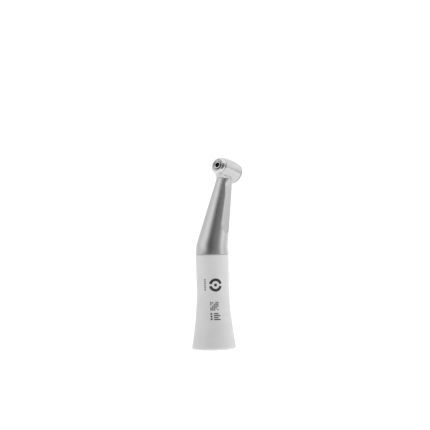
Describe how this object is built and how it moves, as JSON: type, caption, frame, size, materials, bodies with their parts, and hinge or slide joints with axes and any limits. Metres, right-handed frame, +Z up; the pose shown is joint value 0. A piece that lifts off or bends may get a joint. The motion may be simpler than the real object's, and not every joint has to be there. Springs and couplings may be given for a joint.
{
  "type": "contra angle dental handpiece",
  "caption": "Slim angled dental handpiece: flared grip, tapered steel neck at a bend, and a cross head with a bur chuck and push button, driven by bevel gears.",
  "frame": {"origin": "on the handle's axis, in the plane of the rear face, where the motor couples", "axes": "+Z up the handle towards the head; +X towards the side that the push button faces; the bur leaves the head towards -X"},
  "size_m": [0.0296, 0.0202, 0.0873],
  "materials": {
    "white_grip": "satin white",
    "satin_head": "fine bead-blasted, pale",
    "brushed_neck": "finely brushed",
    "dark_steel": "dark satin",
    "bright_steel": "ground and polished",
    "gear_steel": "machined",
    "bronze": "sintered bronze",
    "body_alloy": "turned"
  },
  "bodies": {
    "housing": {"grip_sleeve": "white_grip", "coupling_socket": "bright_steel", "inner_body": "body_alloy", "drive_bush": "bronze", "bush_nut": "body_alloy", "drive_bearing_outer_race": "bright_steel", "bearing_lock_ring": "body_alloy", "neck_sheath": "brushed_neck", "head_housing": "satin_head", "sheath_lock_ring": "body_alloy", "neck_bush_holder": "body_alloy", "neck_bush": "bronze", "neck_bearing_outer_race": "bright_steel", "neck_lock_ring": "body_alloy", "front_bearing_outer_race": "bright_steel", "rear_bearing_outer_race": "bright_steel", "nose_ring": "dark_steel", "rear_bearing_holder": "body_alloy", "spring_washer": "bright_steel", "button_spring": "bright_steel", "head_cap": "satin_head"},
    "drive_line": {"drive_shaft": "bright_steel", "dog_pin": "bright_steel", "dog_spring": "bright_steel", "drive_bearing_inner_race": "bright_steel", "drive_gear": "gear_steel"},
    "motor_dog": {"drive_dog": "gear_steel"},
    "neck_line": {"neck_shaft": "bright_steel", "neck_gear": "gear_steel", "neck_bearing_inner_race": "bright_steel", "head_pinion": "gear_steel"},
    "chuck": {"chuck_spindle": "bright_steel", "chuck_gear": "gear_steel", "bur_clamp": "gear_steel", "front_bearing_inner_race": "bright_steel", "rear_bearing_inner_race": "bright_steel"},
    "button": {"push_button": "satin_head", "release_plunger": "bright_steel"},
    "drive_cage": {"drive_bearing_balls_in_cage": "gear_steel"},
    "neck_cage": {"neck_bearing_balls_in_cage": "gear_steel"},
    "front_cage": {"front_bearing_balls_in_cage": "gear_steel"},
    "rear_cage": {"rear_bearing_balls_in_cage": "gear_steel"}
  },
  "joints": [
    {"name": "drive_spin", "type": "hinge", "parent": "housing", "child": "drive_line", "pos_m": [0, 0, 0.03], "axis": [0, 0, 1], "continuous": true},
    {"name": "neck_spin", "type": "hinge", "parent": "housing", "child": "neck_line", "pos_m": [0, 0, 0.0465], "axis": [0.3156, 0, 0.9489], "continuous": true},
    {"name": "chuck_spin", "type": "hinge", "parent": "housing", "child": "chuck", "pos_m": [0.01174, 0, 0.0818], "axis": [-0.9489, 0, 0.3156], "continuous": true},
    {"name": "drive_cage_spin", "type": "hinge", "parent": "housing", "child": "drive_cage", "pos_m": [0, 0, 0.04175], "axis": [0, 0, 1], "continuous": true},
    {"name": "neck_cage_spin", "type": "hinge", "parent": "housing", "child": "neck_cage", "pos_m": [0, 0, 0.0465], "axis": [0.3156, 0, 0.9489], "continuous": true},
    {"name": "front_cage_spin", "type": "hinge", "parent": "housing", "child": "front_cage", "pos_m": [0.01174, 0, 0.0818], "axis": [-0.9489, 0, 0.3156], "continuous": true},
    {"name": "rear_cage_spin", "type": "hinge", "parent": "housing", "child": "rear_cage", "pos_m": [0.01174, 0, 0.0818], "axis": [-0.9489, 0, 0.3156], "continuous": true},
    {"name": "dog_slide", "type": "slide", "parent": "drive_line", "child": "motor_dog", "axis": [0, 0, 1], "range_m": [0, 0.001], "stiffness_N_per_m": 300, "deforming": ["dog_spring"]},
    {"name": "button_press", "type": "slide", "parent": "housing", "child": "button", "axis": [-0.9489, 0, 0.3156], "range_m": [0, 0.00045], "stiffness_N_per_m": 800, "deforming": ["button_spring"]}
  ],
  "couplings": [
    {"joint": "neck_spin", "follows": "drive_spin", "ratio": 1},
    {"joint": "chuck_spin", "follows": "drive_spin", "ratio": 1},
    {"joint": "drive_cage_spin", "follows": "drive_spin", "ratio": 0.3853},
    {"joint": "neck_cage_spin", "follows": "drive_spin", "ratio": 0.4},
    {"joint": "front_cage_spin", "follows": "drive_spin", "ratio": 0.3951},
    {"joint": "rear_cage_spin", "follows": "drive_spin", "ratio": 0.3951}
  ]
}
